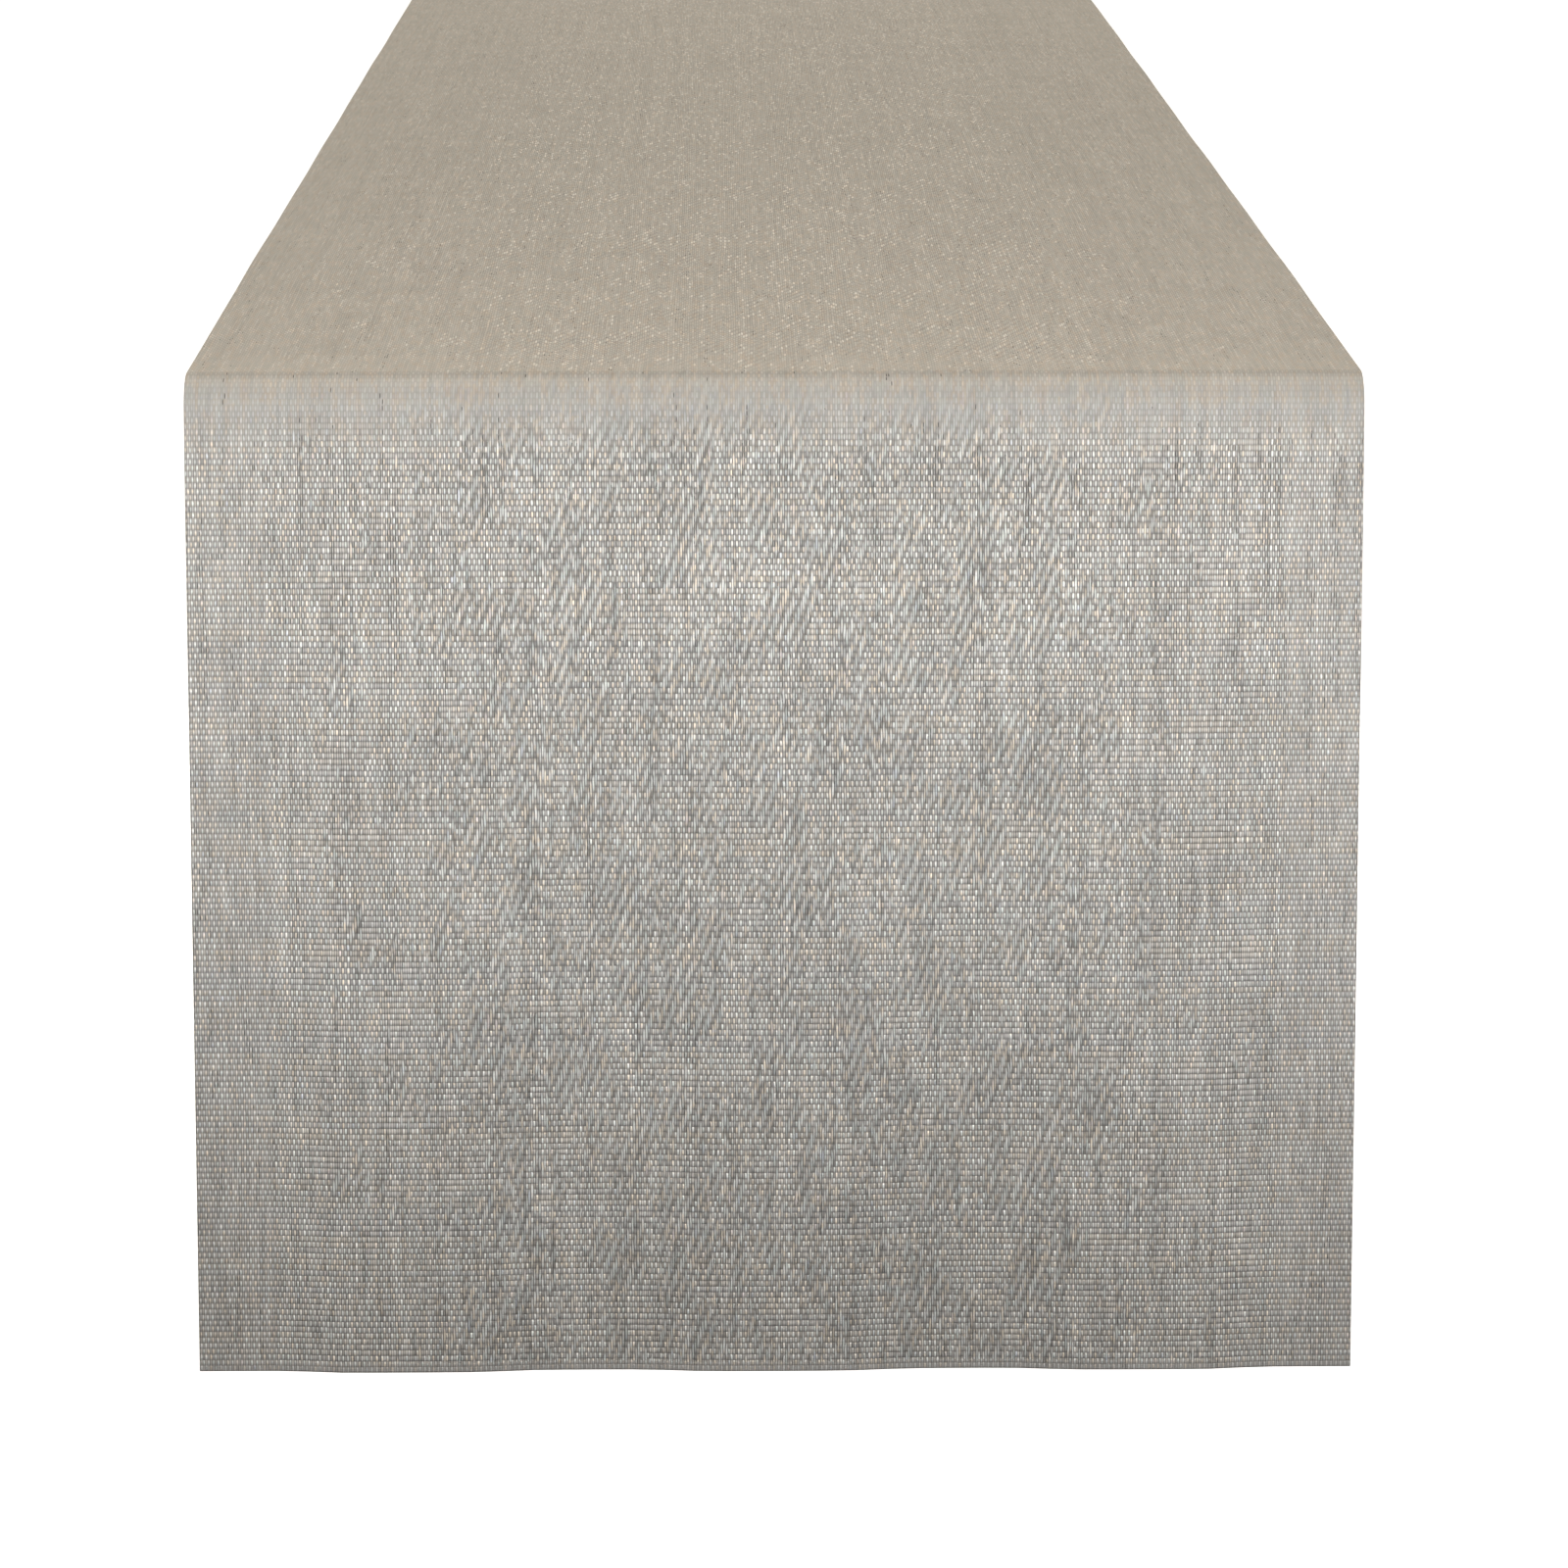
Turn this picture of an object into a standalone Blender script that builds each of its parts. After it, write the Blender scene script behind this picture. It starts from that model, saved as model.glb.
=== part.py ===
"""A woven table runner, draped over a table.

One long cloth lies flat on the table top, bends over the table's two ends and hangs down at each. It is woven in
one piece, as a figured field between two plain-woven selvedge bands, and its two cut ends are sealed by melting.
The cloth is divided here where those zones meet, where each bend starts and ends, and in the middle of each bend,
where a drop swings up and down.

Metres, +Z up. The origin is on the underside of the cloth, in the middle of the table top. The runner lies along Y:
its front drop hangs at -Y and its back drop at +Y. Left is -X.
"""

import math

import bmesh
import bpy
from mathutils import Vector

# The cloth, as it is cut.
CLOTH_LENGTH = 1.829
CLOTH_WIDTH = 0.356
CLOTH_THICKNESS = 0.001
SELVEDGE_WIDTH = 0.024
SEALED_END_LENGTH = 0.003

# How it hangs. The span is measured from the middle of the cloth at one bend's foot to the same at the other's.
BEND_SPAN = 1.220
BEND_RADIUS = 0.010
LEAN_UNDER_BEND = math.radians(5.2)
LEAN_AT_END = math.radians(3)
LEAN_FADES_IN = 0.040
DROP_LIFT = math.radians(86)

# The gap between two zones of the cloth, which keeps their solids apart.
ZONE_GAP = 0.0003

# How finely the curved stretches are cut.
BEND_STEP = math.radians(6)
DROP_STEP = 0.020
LEAN_STEPS = 60

BEND_TURN = math.pi / 2 - LEAN_UNDER_BEND
BEND_LENGTH = BEND_RADIUS * BEND_TURN
HALF_LENGTH = CLOTH_LENGTH / 2
BEND_START = BEND_SPAN / 2 - BEND_RADIUS
BEND_MIDDLE = BEND_START + BEND_LENGTH / 2
BEND_END = BEND_START + BEND_LENGTH
SEAL_START = HALF_LENGTH - SEALED_END_LENGTH

FINISHES = {
    "field": ((0.40, 0.38, 0.34), 0.42, 0.45),
    "selvedge": ((0.37, 0.36, 0.34), 0.50, 0.35),
    "sealed_end": ((0.30, 0.28, 0.25), 0.30, 0.20),
}


def lean(below_bend):
    """How far the drop slants outwards from upright, at a distance along the cloth below its bend."""
    return LEAN_AT_END + (LEAN_UNDER_BEND - LEAN_AT_END) * math.exp(-below_bend / LEAN_FADES_IN)


def cloth_point(along):
    """Where the middle of the cloth is, (out, up), at a distance along it from the middle of the table top."""
    turn = min(max(along - BEND_START, 0), BEND_LENGTH) / BEND_RADIUS
    out = min(along, BEND_START) + BEND_RADIUS * math.sin(turn)
    up = CLOTH_THICKNESS / 2 - BEND_RADIUS * (1 - math.cos(turn))
    step = max(along - BEND_END, 0) / LEAN_STEPS
    for i in range(LEAN_STEPS):
        slant = lean((i + 0.5) * step)
        out += step * math.sin(slant)
        up -= step * math.cos(slant)
    return out, up


def fold_axis():
    """Where a drop turns, (out, up): lifted level, the cloth has its full length from the bend's start to its end."""
    cos, sin = math.cos(DROP_LIFT), math.sin(DROP_LIFT)
    foot_out, foot_up = cloth_point(BEND_END)
    lifted_out = BEND_END - (cos * foot_out - sin * foot_up)
    lifted_up = CLOTH_THICKNESS / 2 - (sin * foot_out + cos * foot_up)
    size = (1 - cos) ** 2 + sin**2
    return (
        ((1 - cos) * lifted_out - sin * lifted_up) / size,
        (sin * lifted_out + (1 - cos) * lifted_up) / size,
    )


def stations(start, end):
    """The distances along the cloth at which a strip from start to end has a cross line."""
    longest = BEND_RADIUS * BEND_STEP if end <= BEND_END else DROP_STEP
    count = math.ceil((end - start) / longest)
    return [start + (end - start) * i / count for i in range(count + 1)]


def route(side, start, end):
    """The middle of the cloth from one distance along it to another, as (y, z) points. Side is -1 at the front."""
    return [(side * out, up) for out, up in map(cloth_point, stations(start, end))]


def material(name):
    colour, roughness, metallic = next(v for k, v in FINISHES.items() if k in name)
    made = bpy.data.materials.new(name)
    made.use_nodes = True
    shader = made.node_tree.nodes["Principled BSDF"]
    shader.inputs["Base Color"].default_value = (*colour, 1)
    shader.inputs["Roughness"].default_value = roughness
    shader.inputs["Metallic"].default_value = metallic
    return made


def strip(name, left, right, points, collection, parent=None):
    """A zone of the cloth from x = left to x = right, along (y, z) points in the middle of its thickness."""
    origin = parent.location if parent else Vector()
    mesh = bpy.data.meshes.new(name)
    built = bmesh.new()
    rows = [[built.verts.new(Vector((x, y, z)) - origin) for x in (left, right)] for y, z in points]
    for (a, b), (d, c) in zip(rows, rows[1:]):
        built.faces.new((a, b, c, d))
    built.to_mesh(mesh)
    built.free()
    mesh.materials.append(material(name))
    piece = bpy.data.objects.new(name, mesh)
    piece.parent = parent
    shell = piece.modifiers.new("thickness", "SOLIDIFY")
    shell.thickness = CLOTH_THICKNESS
    shell.offset = 0
    shell.use_even_offset = True
    mesh.shade_smooth()
    mesh.set_sharp_from_angle(angle=math.radians(30))
    collection.objects.link(piece)
    return piece


def zones(part, points, collection, parent=None):
    """The woven field and the selvedge band on each side of it, side by side along one route."""
    edge = CLOTH_WIDTH / 2
    band = edge - SELVEDGE_WIDTH
    strip(f"{part}_field", -band + ZONE_GAP, band - ZONE_GAP, points, collection, parent)
    strip(f"{part}_selvedge_left", -edge, -band, points, collection, parent)
    strip(f"{part}_selvedge_right", band, edge, points, collection, parent)


def table_stretch(collection):
    """What lies flat on the table."""
    reach = BEND_START - ZONE_GAP
    zones("top", [(side * reach, CLOTH_THICKNESS / 2) for side in (-1, 1)], collection)


def upper_bend(part, side, collection):
    """The upper half of the bend over one end of the table, which stays with the stretch on the table."""
    zones(f"{part}_upper_bend", route(side, BEND_START, BEND_MIDDLE - ZONE_GAP / 2), collection)


def drop(part, side, collection):
    """What hangs at one end, with the lower half of its bend. It turns about the fold's axis."""
    out, up = fold_axis()
    axis = bpy.data.objects.new(f"{part}_fold_axis", None)
    axis.location = (0, side * out, up)
    collection.objects.link(axis)
    zones(f"{part}_lower_bend", route(side, BEND_MIDDLE + ZONE_GAP / 2, BEND_END), collection, axis)
    zones(part, route(side, BEND_END + ZONE_GAP, SEAL_START - ZONE_GAP), collection, axis)
    edge = CLOTH_WIDTH / 2
    strip(f"{part}_sealed_end", -edge, edge, route(side, SEAL_START, HALF_LENGTH), collection, axis)


def main():
    for leftover in list(bpy.data.objects):
        bpy.data.objects.remove(leftover)
    runner = bpy.data.collections.new("table_runner")
    bpy.context.scene.collection.children.link(runner)
    table_stretch(runner)
    for part, side in (("front", -1), ("back", 1)):
        upper_bend(part, side, runner)
        drop(part, side, runner)


main()
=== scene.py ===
import math

import bpy
import numpy as np
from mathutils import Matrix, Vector


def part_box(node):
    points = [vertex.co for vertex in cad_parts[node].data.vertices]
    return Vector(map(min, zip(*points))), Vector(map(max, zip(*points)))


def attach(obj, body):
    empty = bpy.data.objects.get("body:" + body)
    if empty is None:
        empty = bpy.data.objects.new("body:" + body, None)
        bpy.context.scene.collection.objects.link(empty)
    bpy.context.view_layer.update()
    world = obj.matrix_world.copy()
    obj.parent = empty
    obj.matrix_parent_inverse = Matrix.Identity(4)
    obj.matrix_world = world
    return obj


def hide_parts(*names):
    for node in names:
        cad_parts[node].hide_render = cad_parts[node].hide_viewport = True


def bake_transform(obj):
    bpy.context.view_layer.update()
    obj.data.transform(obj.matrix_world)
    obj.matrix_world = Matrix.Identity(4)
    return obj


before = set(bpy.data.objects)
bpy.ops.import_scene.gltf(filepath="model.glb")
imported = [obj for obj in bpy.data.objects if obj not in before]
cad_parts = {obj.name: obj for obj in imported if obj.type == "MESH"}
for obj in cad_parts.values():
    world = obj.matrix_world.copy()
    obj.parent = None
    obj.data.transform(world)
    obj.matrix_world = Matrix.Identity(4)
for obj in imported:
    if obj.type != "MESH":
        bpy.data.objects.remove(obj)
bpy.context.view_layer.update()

# The cloth. Its width, its zones and its thickness come from the frame.
CLOTH_LENGTH = 1.829
BEND_RADIUS = 0.010
LEAN_UNDER_BEND = math.radians(5.2)
LEAN_AT_END = math.radians(3)
LEAN_FADES_IN = 0.040
LEAN_STEPS = 60

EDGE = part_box("top_selvedge_right")[1].x
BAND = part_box("top_selvedge_right")[0].x
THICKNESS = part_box("top_field")[1].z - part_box("top_field")[0].z
BEND_START = -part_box("front_upper_bend_field")[1].y
BEND_TURN = math.pi / 2 - LEAN_UNDER_BEND
BEND_LENGTH = BEND_RADIUS * BEND_TURN
BEND_END = BEND_START + BEND_LENGTH
HALF_LENGTH = CLOTH_LENGTH / 2
SEALED_LENGTH = 0.003
SEAL_START = HALF_LENGTH - SEALED_LENGTH

# The threads: the warp ends run the cloth's length and the picks run across it.
END_PITCH = 0.00073
PICK_PITCH = 0.0018
THREADS = "threads"
UNDERSIDE = "underside"

# How the cloth waves on the table, and how the drops settle. Until they have, both hang even.
LYING_RIPPLE = 0.00022
SETTLE_CELL = 0.0125
SETTLE_FRAMES = 50
SETTLE_PUSH = 0.002
MOST_RIPPLE = 0.0010
WAVES_DOWN = 3
WAVES_ACROSS = 6
EVEN = np.zeros(WAVES_DOWN * WAVES_ACROSS)
SETTLED = {"front": EVEN, "back": EVEN}

# How finely the cloth is cut.
FIELD_COLUMN = 0.010
BAND_COLUMN = 0.004
BEND_ROW = 0.0009
FLAT_ROW = 0.006
MELTED_ROW = 0.00025


# ---- how the cloth hangs ----


def lean(below_bend):
    """How far the drop slants outwards from upright, at a distance along the cloth below its bend."""
    return LEAN_AT_END + (LEAN_UNDER_BEND - LEAN_AT_END) * np.exp(-below_bend / LEAN_FADES_IN)


def cloth_line(along):
    """Where the middle of the cloth is, (out, up), at distances along it from the middle of the table top."""
    turn = np.clip(along - BEND_START, 0, BEND_LENGTH) / BEND_RADIUS
    out = np.minimum(along, BEND_START) + BEND_RADIUS * np.sin(turn)
    up = THICKNESS / 2 - BEND_RADIUS * (1 - np.cos(turn))
    step = np.maximum(along - BEND_END, 0) / LEAN_STEPS
    for i in range(LEAN_STEPS):
        slant = lean((i + 0.5) * step)
        out = out + step * np.sin(slant)
        up = up - step * np.cos(slant)
    return out, up


def ease(start, end, value):
    """0 before start, 1 after end, and smooth between them."""
    share = np.clip((value - start) / (end - start), 0, 1)
    return share * share * (3 - 2 * share)


def hang(x, s):
    """The middle of the cloth at x across it and s along it, where s is below 0 at the front."""
    out, up = cloth_line(np.abs(s))
    points = np.stack([x, np.sign(s) * out, up], axis=-1)
    points[..., 2] += lying_ripple(x, s)
    points[..., 1] += np.sign(s) * hanging_ripple(x, s)
    return points


def lying_ripple(x, s):
    """How far the cloth stands off the table, in slow waves that die out before the bends."""
    wave = np.sin(17 * s + 9 * x) * np.sin(23 * x - 5 * s + 0.7) + 0.6 * np.sin(41 * s - 13 * x + 1.9)
    return LYING_RIPPLE * (1.6 + wave) * ease(0.02, 0.16, BEND_START - np.abs(s))


def waves(x, s):
    """Soft waves over a drop, from its bend to its cut end, along a last axis."""
    across = x / (2 * EDGE) + 0.5
    below = np.clip((np.abs(s) - BEND_END) / (HALF_LENGTH - BEND_END), 0, 1)
    down = [np.sin(np.pi * (i + 0.5) * below) * ease(0, 0.3, below) for i in range(WAVES_DOWN)]
    sideways = [np.cos(np.pi * (i + 1) * across) for i in range(WAVES_ACROSS)]
    return np.stack([a * b for a in down for b in sideways], axis=-1)


def hanging_ripple(x, s):
    """How far a drop stands out from its even hang, as the simulation left it."""
    found = waves(x, s)
    left = np.where(s < 0, found @ SETTLED["front"], found @ SETTLED["back"])
    return MOST_RIPPLE * np.tanh(left / MOST_RIPPLE)


def facing(x, s):
    """The direction that the cloth's upper side faces."""
    small = 0.0004
    across = hang(x + small, s) - hang(x - small, s)
    along = hang(x, s + small) - hang(x, s - small)
    normal = np.cross(across, along)
    return normal / np.linalg.norm(normal, axis=-1, keepdims=True)


# ---- cutting the cloth into its zones ----


def spaced(start, end, longest):
    """Even steps from start to end, none over the longest."""
    return np.linspace(start, end, math.ceil((end - start) / longest) + 1)


def sides_of(x):
    """Half the cloth's thickness across it: full, and rounded off at the two long edges."""
    past = np.clip(np.abs(x) - (EDGE - THICKNESS / 2), 0, THICKNESS / 2) / (THICKNESS / 2)
    return THICKNESS / 2 * np.sqrt(1 - 0.98 * past**2)


def thin_at_end(s):
    """The share of its thickness that the cloth keeps along its melted end."""
    left = np.clip((HALF_LENGTH - np.abs(s)) / (THICKNESS / 2), 0, 1)
    return np.sqrt(1 - 0.96 * (1 - left) ** 2)


def skin(name, across, along, material):
    """A closed strip of cloth over places across and along it: two skins and the wall round them."""
    x, s = np.meshgrid(across, along)
    half = (sides_of(x) * thin_at_end(s))[..., None]
    middle, out = hang(x, s), facing(x, s)
    points = np.concatenate([(middle + out * half).reshape(-1, 3), (middle - out * half).reshape(-1, 3)])
    upper = np.arange(x.size).reshape(x.shape)
    under = upper + x.size
    faces = [
        (upper[:-1, :-1], upper[:-1, 1:], upper[1:, 1:], upper[1:, :-1]),
        (under[:-1, :-1], under[1:, :-1], under[1:, 1:], under[:-1, 1:]),
        (under[0, :-1], under[0, 1:], upper[0, 1:], upper[0, :-1]),
        (under[-1, 1:], under[-1, :-1], upper[-1, :-1], upper[-1, 1:]),
        (under[1:, 0], under[:-1, 0], upper[:-1, 0], upper[1:, 0]),
        (under[:-1, -1], under[1:, -1], upper[1:, -1], upper[:-1, -1]),
    ]
    quads = np.concatenate([np.stack([corner.ravel() for corner in face], axis=1) for face in faces])
    mesh = bpy.data.meshes.new(name)
    mesh.from_pydata(points.tolist(), [], quads.tolist())
    threads = np.stack([x.ravel() / END_PITCH, s.ravel() / PICK_PITCH], axis=1)
    threads = np.concatenate([threads, threads])[quads.ravel()]
    mesh.uv_layers.new(name=THREADS).uv.foreach_set("vector", threads.astype(np.float32).ravel())
    lower = np.repeat([0.0, 1.0], x.size).astype(np.float32)
    mesh.attributes.new(UNDERSIDE, "FLOAT", "POINT").data.foreach_set("value", lower)
    mesh.materials.append(material)
    mesh.shade_smooth()
    mesh.set_sharp_from_angle(angle=math.radians(50))
    piece = bpy.data.objects.new(name, mesh)
    bpy.context.scene.collection.objects.link(piece)
    return piece


# ---- letting the drops settle ----


def settle(side):
    """Lets one drop settle as cloth, held along its bend, and returns the waves that are left in it."""
    x, s = np.meshgrid(spaced(-EDGE, EDGE, SETTLE_CELL), side * spaced(BEND_START, HALF_LENGTH, SETTLE_CELL))
    start = hang(x, s)
    below = ease(0, 0.3, np.maximum(np.abs(s) - BEND_END, 0))
    push = np.sin(26 * x + 1.5 * side) + 0.7 * np.sin(47 * x - 9 * s)
    start[..., 1] += side * SETTLE_PUSH * below * push
    corner = np.arange(x.size).reshape(x.shape)
    quads = np.stack([corner[:-1, :-1], corner[:-1, 1:], corner[1:, 1:], corner[1:, :-1]], axis=-1)
    mesh = bpy.data.meshes.new("settling")
    mesh.from_pydata(start.reshape(-1, 3).tolist(), [], quads.reshape(-1, 4).tolist())
    sheet = bpy.data.objects.new("settling", mesh)
    bpy.context.scene.collection.objects.link(sheet)
    held = sheet.vertex_groups.new(name="held")
    held.add(corner[np.abs(s) < BEND_END + SETTLE_CELL].tolist(), 1, "REPLACE")
    cloth = sheet.modifiers.new("cloth", "CLOTH")
    cloth.point_cache.frame_end = SETTLE_FRAMES
    cloth.settings.vertex_group_mass = "held"
    cloth.settings.quality = 8
    cloth.settings.mass = 0.3
    cloth.settings.tension_stiffness = 40
    cloth.settings.compression_stiffness = 40
    cloth.settings.shear_stiffness = 20
    cloth.settings.bending_stiffness = 8
    cloth.settings.air_damping = 3
    for moment in range(1, SETTLE_FRAMES + 1):
        bpy.context.scene.frame_set(moment)
    still = sheet.evaluated_get(bpy.context.evaluated_depsgraph_get()).data
    places = np.array([tuple(vertex.co) for vertex in still.vertices]).reshape(start.shape)
    bpy.data.objects.remove(sheet)
    bpy.context.scene.frame_set(1)
    out = side * (places - hang(x, s))[..., 1]
    found = np.linalg.lstsq(waves(x, s).reshape(x.size, -1), out.ravel(), rcond=None)[0]
    return np.round(found, 5)


# ---- shader maths ----


class Thread:
    """A value in a material, which sums and products can be written with."""

    def __init__(self, socket):
        self.socket = socket

    def maths(self, operation, *values):
        tree = self.socket.id_data
        node = tree.nodes.new("ShaderNodeMath")
        node.operation = operation
        for pin, value in zip(node.inputs, values):
            if isinstance(value, Thread):
                tree.links.new(value.socket, pin)
            else:
                pin.default_value = value
        return Thread(node.outputs[0])

    def output(self, name):
        """Another output of the node that this value comes from."""
        return Thread(self.socket.node.outputs[name])

    def __add__(self, other):
        return self.maths("ADD", self, other)

    def __radd__(self, other):
        return self.maths("ADD", other, self)

    def __sub__(self, other):
        return self.maths("SUBTRACT", self, other)

    def __rsub__(self, other):
        return self.maths("SUBTRACT", other, self)

    def __mul__(self, other):
        return self.maths("MULTIPLY", self, other)

    def __rmul__(self, other):
        return self.maths("MULTIPLY", other, self)

    def __truediv__(self, other):
        return self.maths("DIVIDE", self, other)

    def __rtruediv__(self, other):
        return self.maths("DIVIDE", other, self)

    def __mod__(self, other):
        return self.maths("FLOORED_MODULO", self, other)

    def __rmod__(self, other):
        return self.maths("FLOORED_MODULO", other, self)

    def __pow__(self, other):
        return self.maths("POWER", self, other)

    def __rpow__(self, other):
        return self.maths("POWER", other, self)

    def __gt__(self, other):
        return self.maths("GREATER_THAN", self, other)

    def __lt__(self, other):
        return self.maths("LESS_THAN", self, other)

    def __abs__(self):
        return self.maths("ABSOLUTE", self)

    def floor(self):
        return self.maths("FLOOR", self)

    def larger(self, other):
        return self.maths("MAXIMUM", self, other)

    def smaller(self, other):
        return self.maths("MINIMUM", self, other)

    def held(self):
        """The value, held between 0 and 1."""
        return self.larger(0).smaller(1)

    def eased(self, start, end):
        """0 at start, 1 at end, and smooth between them."""
        share = ((self - start) / (end - start)).held()
        return share * share * (3 - 2 * share)

    def between(self, comes_in, fades):
        """1 on a stretch of the value, and 0 before it comes in and after it fades."""
        return self.eased(*comes_in) * (1 - self.eased(*fades))


class Finish:
    """A material and the nodes in it."""

    def __init__(self, name):
        self.material = bpy.data.materials.new(name)
        self.material.use_nodes = True
        self.tree = self.material.node_tree
        self.tree.nodes.clear()

    def node(self, kind, settings, output=0, **pins):
        """Adds a node: its settings first, then its sockets, named in lower case with _ for a space."""
        made = self.tree.nodes.new(kind)
        for name, value in settings.items():
            setattr(made, name, value)
        for name, value in pins.items():
            pin = self.pin(made, name)
            if isinstance(value, Thread):
                self.tree.links.new(value.socket, pin)
            else:
                pin.default_value = value
        return Thread(made.outputs[output])

    @staticmethod
    def pin(made, name):
        wanted = name.replace("_", " ")
        return next(pin for pin in made.inputs if pin.enabled and pin.name.lower() == wanted)

    def pair(self, x, y):
        return self.node("ShaderNodeCombineXYZ", {}, x=x, y=y)

    def noise(self, x, y, detail=2.0, roughness=0.5):
        """Soft noise from 0 to 1, about as coarse as the steps of x and y."""
        kind, settings = "ShaderNodeTexNoise", {"noise_dimensions": "2D"}
        return self.node(kind, settings, vector=self.pair(x, y), scale=1, detail=detail, roughness=roughness)

    def chance(self, x, y):
        """An even random number from 0 to 1 for each whole x and y."""
        return self.node("ShaderNodeTexWhiteNoise", {"noise_dimensions": "2D"}, vector=self.pair(x, y))

    def mix(self, share, first, second, blend="MIX"):
        settings = {"data_type": "RGBA", "blend_type": blend}
        return self.node("ShaderNodeMix", settings, output=2, factor=share, a=first, b=second)

    def shades(self, value, stops):
        """A colour read off a scale of (place, colour) stops."""
        made = self.node("ShaderNodeValToRGB", {}, fac=value)
        scale = made.socket.node.color_ramp
        while len(scale.elements) < len(stops):
            scale.elements.new(0.5)
        for element, (place, colour) in zip(scale.elements, stops):
            element.position = place
            element.color = colour
        return made

    def wear(self, **pins):
        """Ends the material in a Principled shader with these sockets."""
        shader = self.node("ShaderNodeBsdfPrincipled", {}, **pins)
        out = self.tree.nodes.new("ShaderNodeOutputMaterial")
        self.tree.links.new(shader.socket, out.inputs["Surface"])


# ---- the finishes ----

CHAMPAGNE = (0.62, 0.54, 0.43, 1)
SILVER = (0.58, 0.565, 0.53, 1)
MIST = (0.53, 0.54, 0.55, 1)
SAGE = (0.54, 0.55, 0.50, 1)
ROSE = (0.60, 0.54, 0.51, 1)
WEFT_GREY = (0.45, 0.43, 0.40, 1)
WEFT_BEIGE = (0.49, 0.45, 0.39, 1)
# The painted shade in the slits between ends.
SLIT_SHADE = (0.05, 0.045, 0.04, 1)
MELTED = (0.34, 0.32, 0.29, 1)

# Where the figure thins out and where it ends, as distances from the cloth's middle line.
FIGURE_THINS = (0.085, 0.128)
FIGURE_ENDS = (0.145, 0.156)

# The share of their relief that the threads keep on the bend, and how much more of it on the table.
PRESSED = 0.18
MORE_ON_TABLE = 0.14
MEAN_SHADE = 0.80
THREAD_RELIEF = 0.00022

# Stretches along the cloth, as distances from the bend's start: where each comes in, and where it fades.
REACHES_BEND = (-0.06, 0)
LOOSENS = (0.009, 0.034)
# The last three place a painted highlight on the bend's crest, painted shade on its middle, and a painted
# highlight below it, where more slits open too.
CREST_HIGHLIGHT = ((-0.001, 0.002), (0.005, 0.011))
MID_BEND_SHADE = ((0.005, 0.011), (0.016, 0.026))
BELOW_BEND_HIGHLIGHT_AND_SLITS = ((0.018, 0.030), (0.045, 0.13))


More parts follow.
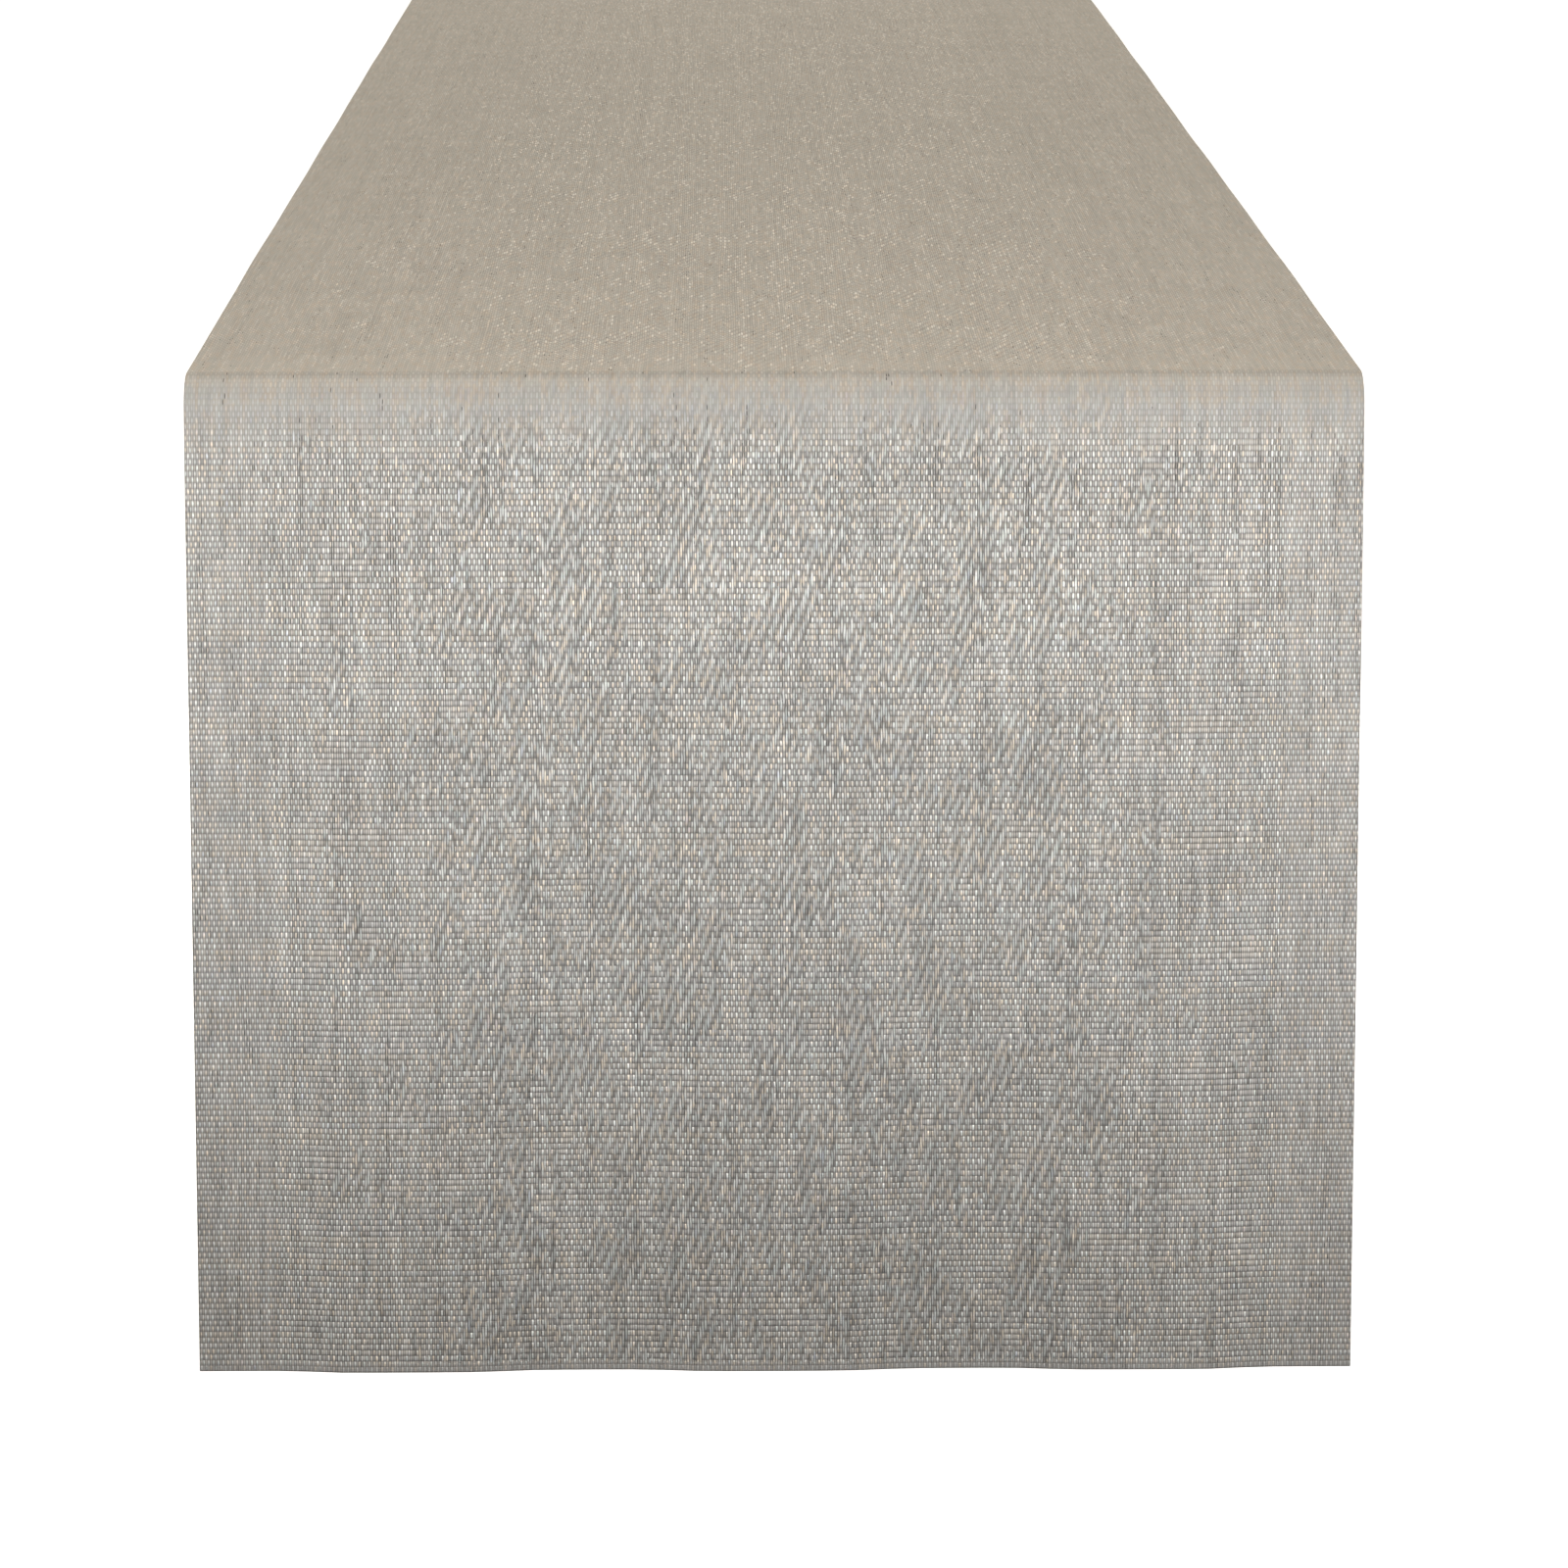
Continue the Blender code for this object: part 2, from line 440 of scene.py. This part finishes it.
def woven(name, figured=False, melted=False):
    """Silver and champagne vinyl ends over a grey weft, thread by thread."""
    cloth = Finish(name)
    places = cloth.node("ShaderNodeUVMap", {"uv_map": THREADS})
    u = cloth.node("ShaderNodeSeparateXYZ", {}, vector=places)
    v = u.output("Y")
    under = cloth.node("ShaderNodeAttribute", {"attribute_name": UNDERSIDE}, output="Fac") > 0.5
    from_fold = abs(v) * PICK_PITCH - BEND_START
    u = u + 0.55 * (cloth.noise(u * 0.30, v * 0.33) - 0.5) + 3.0 * (cloth.noise(u / 25, v / 120) - 0.5)
    end = u.floor()
    pick = v.floor()
    across = u - end
    along = v - pick
    climb = v - end + 2 * (cloth.chance(end + 0.5, 1.5) < 0.08)
    block = (climb / 4).floor()
    drawn = 4 * block + end

    # Which weave each end is in, four picks at a time: plain, twill or weft-faced.
    if figured:
        from_middle = abs(end) * END_PITCH
        side = from_middle.eased(*FIGURE_THINS)
        border = from_middle.eased(*FIGURE_ENDS)
        patch = cloth.noise(end / 24, drawn / 11, 6, 0.85)
        twill = (patch - 0.105 * side - 0.6 * border) > 0.5
        lines = cloth.noise(end / 21 + 40, drawn / 7, 4, 0.7) + 0.04 * side - 0.5 * border
        weft_faced = (lines > 0.60) * (1 - twill)
        period = 2 + 2 * twill + 2 * weft_faced
        start = 1 + 2 * weft_faced
        gain = 1.20 - 0.20 * twill
        roundness = 3.0
        boldness = 1.0
    else:
        weft_faced = 0.0
        period = 2.0
        start = 1.0
        gain = 1.20
        roundness = 1.5
        boldness = 0.80
    phase = climb % period
    begin = start * (1 - under)
    run = (phase - begin) / ((period - start) * (1 - under) + start * under)
    up = (run > 0) * (run < 1)
    crown = up * (1 - abs(2 * run - 1) ** roundness) * (1 - 0.30 * abs(2 * along - 1) ** 3)
    ridge = 1 - abs(2 * across - 1) ** 2.4
    warp = crown * (0.25 + 0.75 * ridge)
    weft = (0.42 + 0.35 * weft_faced) * (1 - abs(2 * along - 1) ** 2)
    height = warp.larger(weft)
    shows = (4 * (warp - weft) + 0.3).held()

    # Each end has its own tint, which drifts along it, and each float and crossing its own brightness. The
    # glinting floats are glossier and also get a painted glint, a lighter colour.
    tint = cloth.noise(end / 3, v / 6, 3, 0.75)
    warp_colour = cloth.shades(
        tint, [(0.26, MIST), (0.38, SAGE), (0.50, SILVER), (0.62, CHAMPAGNE), (0.74, ROSE)]
    )
    weft_colour = cloth.mix(cloth.chance(pick, 3), WEFT_GREY, WEFT_BEIGE)
    float_luck = cloth.chance(end + 0.5, block + 0.5)
    # Painted glint: the glinting floats are lighter in colour as well as glossier.
    glint = (float_luck > 0.86) * shows
    own_tone_and_glint = (
        0.17 * float_luck
        + 0.22 * cloth.chance(end + 0.5, pick + 0.5)
        + 0.08 * (end % 2)
        + 0.18 * glint
        - 0.24
    )
    drift = (
        0.10 * cloth.chance(end + 0.5, 7.5)
        + 0.60 * cloth.noise(end * 0.9, v / 13, 2, 0.6)
        + 0.34 * cloth.noise(end / 6, v / 90, 3, 0.6)
        + 0.22 * cloth.noise(end / 45, v / 18, 3, 0.6)
        - 0.63
    )
    # Painted shade: the lower a thread lies in the weave, the darker its colour, as its recesses would be
    # shaded.
    shade = (0.50 + 0.50 * height) * gain

    # The ends lie closer in some places than in others. Painted shade darkens the gaps between them, and
    # near-black painted shade fills the slits where they stand apart.
    gap = (u + 0.5).floor()
    from_gap = abs(u - gap)
    loose = cloth.noise(gap * 0.83, v / 12, 3, 0.6)
    shade = shade * (1 - (0.22 + 0.90 * loose) * (1 - from_gap / 0.30).held())

    # On the table and over the bend the threads are pressed flat and close, and they loosen down the drop.
    # A painted highlight lies on the bend's crest and another below the bend, where more slits open too, with
    # painted shade on the middle of the bend between them.
    lying = 1 - from_fold.eased(*REACHES_BEND)
    painted_crest_highlight = from_fold.between(*CREST_HIGHLIGHT)
    painted_mid_bend_shade = from_fold.between(*MID_BEND_SHADE)
    below_bend = from_fold.between(*BELOW_BEND_HIGHLIGHT_AND_SLITS)
    pressed = PRESSED + MORE_ON_TABLE * lying + (1 - PRESSED) * from_fold.eased(*LOOSENS)
    relief = boldness * pressed
    shade = MEAN_SHADE + (shade - MEAN_SHADE) * relief
    shade = shade * (0.95 + own_tone_and_glint * relief + drift * (0.40 + 0.60 * relief))
    # Painted highlights on the bend's crest and below the bend, and painted shade on its middle.
    shade = shade * (1 + 0.07 * painted_crest_highlight - 0.09 * painted_mid_bend_shade + 0.09 * below_bend)
    shows = 0.62 + (shows - 0.62) * pressed
    colour = cloth.mix(shows, weft_colour, warp_colour)
    grey = cloth.node("ShaderNodeCombineColor", {}, red=shade, green=shade, blue=shade)
    colour = cloth.mix(1.0, colour, grey, "MULTIPLY")
    open_share = cloth.noise(gap / 5 + 9, v / 34, 3, 0.65) + 0.07 * below_bend
    open_share = open_share.eased(0.56, 0.74) * 0.8 * relief
    slit = (cloth.chance(gap + 0.5, pick + 0.5) < open_share) * (1 - from_gap / 0.34).held()
    slit = slit * (1 - abs(2 * along - 1) ** 3)
    # Painted shade: the slits are near-black.
    colour = cloth.mix(slit, colour, SLIT_SHADE)

    roughness = 0.44 - 0.16 * glint + 0.16 * (1 - shows) + 0.10 * slit
    height = height * relief
    if melted:
        melt = (abs(v) * PICK_PITCH).eased(SEAL_START + 0.0008, HALF_LENGTH - 0.0004)
        colour = cloth.mix(0.45 * melt, colour, MELTED)
        roughness = roughness - 0.16 * melt
        height = height * (1 - 0.8 * melt)
    bump = cloth.node("ShaderNodeBump", {}, height=height, strength=1.0, distance=THREAD_RELIEF)
    cloth.wear(base_color=colour, roughness=roughness, metallic=0.45, normal=bump)
    return cloth.material


def paper(name, colour, glow):
    """A matt finish that glows evenly."""
    finish = Finish(name)
    finish.wear(base_color=colour, roughness=0.9, emission_color=(1, 1, 1, 1), emission_strength=glow)
    return finish.material


# ---- the pieces ----


def drop_rows():
    """Places along a drop, from its bend's start to its melted end, closer together over the bend."""
    bend = spaced(BEND_START, BEND_END, BEND_ROW)
    return np.concatenate([bend, spaced(BEND_END, SEAL_START, FLAT_ROW)[1:]])


def zones():
    """Places across the field and across each selvedge band, with the outer edges' rounding."""
    edge = EDGE - THICKNESS / 2
    turn = THICKNESS / 2 * np.sin(np.radians([25, 48, 66, 80, 90]))
    right = np.concatenate([spaced(BAND, edge, BAND_COLUMN), edge + turn])
    field = spaced(-BAND, BAND, FIELD_COLUMN)
    return {"field": field, "selvedge_left": -right[::-1], "selvedge_right": right}


def build():
    """The stretch on the table, then each drop and its melted end, zone by zone."""
    figured = woven("woven_field", figured=True)
    plain = woven("selvedge_weave")
    sealed = woven("melted_end", melted=True)
    finishes = {"field": figured, "selvedge_left": plain, "selvedge_right": plain}
    across = zones()
    for zone, columns in across.items():
        piece = skin(f"table_{zone}", columns, spaced(-BEND_START, BEND_START, FLAT_ROW), finishes[zone])
        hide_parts(f"top_{zone}")
        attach(piece, "table_stretch")
    for part, side in (("front", -1), ("back", 1)):
        left, middle, right = across["selvedge_left"], across["field"][1:-1], across["selvedge_right"]
        end_columns = np.concatenate([left, middle, right])
        along = np.sort(side * spaced(SEAL_START, HALF_LENGTH, MELTED_ROW))
        sealed_end = skin(f"{part}_melted_end", end_columns, along, sealed)
        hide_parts(f"{part}_sealed_end")
        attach(sealed_end, f"{part}_drop")
        for zone, columns in across.items():
            along = np.sort(side * drop_rows())
            piece = skin(f"{part}_drop_{zone}", columns, along, finishes[zone])
            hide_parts(f"{part}_upper_bend_{zone}", f"{part}_lower_bend_{zone}", f"{part}_{zone}")
            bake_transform(piece)


# ---- the studio ----

FLOOR = -0.75
ROOM = 30.0


def stage():
    """A pale floor with a white wall round it, which neither light the cloth nor shade it."""
    middle = (0, 0, FLOOR)
    bpy.ops.mesh.primitive_circle_add(vertices=64, radius=ROOM, fill_type="NGON", location=middle)
    floor = bpy.context.object
    floor.name = "floor"
    bpy.ops.mesh.primitive_uv_sphere_add(segments=48, ring_count=24, radius=ROOM * 0.98, location=middle)
    wall = bpy.context.object
    wall.name = "wall_of_light"
    floor.data.materials.append(paper("pale_floor", (0.86, 0.86, 0.86, 1), 0.62))
    wall.data.materials.append(paper("white_wall", (0, 0, 0, 1), 1.0))
    for piece in (floor, wall):
        piece.visible_diffuse = False
        piece.visible_glossy = False
        piece.visible_shadow = False


def lamp(name, place, aim, size, watts, colour, mirrored=True):
    """A soft rectangular light. One that isn't mirrored lights the cloth and leaves no gloss on it."""
    data = bpy.data.lights.new(name, "AREA")
    data.shape = "RECTANGLE"
    data.size, data.size_y = size
    data.energy = watts
    data.color = colour
    light = bpy.data.objects.new(name, data)
    light.location = place
    light.rotation_euler = (Vector(aim) - Vector(place)).to_track_quat("-Z", "Y").to_euler()
    light.visible_camera = False
    light.visible_glossy = mirrored
    bpy.context.scene.collection.objects.link(light)


def lights():
    """A bright room above the table, and soft lights by the front fold, on the right and behind."""
    world = bpy.data.worlds.new("studio")
    world.use_nodes = True
    tree = world.node_tree
    place = tree.nodes.new("ShaderNodeTexCoord")
    parts = tree.nodes.new("ShaderNodeSeparateXYZ")
    scale = tree.nodes.new("ShaderNodeValToRGB")
    scale.color_ramp.elements.new(0.80)
    sky = [(0.48, (0.02, 0.02, 0.02, 1)), (0.56, (0.60, 0.555, 0.50, 1)), (0.80, (0.60, 0.56, 0.50, 1))]
    for stop, (height, colour) in zip(scale.color_ramp.elements, sky):
        stop.position = height
        stop.color = colour
    lift = tree.nodes.new("ShaderNodeMapRange")
    lift.inputs["From Min"].default_value = -1
    tree.links.new(place.outputs["Generated"], parts.inputs[0])
    tree.links.new(parts.outputs["Z"], lift.inputs["Value"])
    tree.links.new(lift.outputs[0], scale.inputs[0])
    tree.links.new(scale.outputs["Color"], tree.nodes["Background"].inputs["Color"])
    bpy.context.scene.world = world
    fold = (0, -0.61, 0)
    below_fold = (0, -0.62, -0.06)
    lamp("above_fold", (0, -0.80, 0.50), fold, (1.4, 0.3), 3.4, (1.0, 0.92, 0.85), mirrored=False)
    lamp("by_fold", (0, -0.88, -0.08), below_fold, (1.6, 0.12), 3.5, (0.91, 0.94, 1.0), mirrored=False)
    lamp("gleam", (0, -0.93, -0.06), below_fold, (1.6, 0.12), 0.6, (0.95, 0.98, 1.0))
    lamp("behind", (0, 4.2, 0.95), (0, 0, 0), (3.4, 0.9), 13, (1.0, 0.88, 0.70))
    front_drop, back_drop = (0.12, -0.63, -0.3), (0, 0.63, -0.15)
    lamp("low_right", (0.75, -1.95, -0.36), front_drop, (0.9, 0.5), 7.0, (0.83, 0.88, 1.0), mirrored=False)
    lamp("low_behind", (0, 2.2, -0.16), back_drop, (1.6, 0.5), 14, (1.0, 0.96, 0.92), mirrored=False)


def camera():
    """A long lens in front of the front drop, a little above the table."""
    data = bpy.data.cameras.new("camera")
    data.sensor_width = 36
    data.lens = 117.12
    data.shift_y = -0.20
    eye = bpy.data.objects.new("camera", data)
    eye.location = (-0.0160, -2.1237, 0.2629)
    eye.rotation_euler = (math.radians(90 - 10.875), 0, math.radians(-0.709))
    bpy.context.scene.collection.objects.link(eye)
    bpy.context.scene.camera = eye


camera()
SETTLED = {"front": settle(-1), "back": settle(1)}
build()
stage()
lights()
bpy.context.scene.view_settings.view_transform = "Standard"
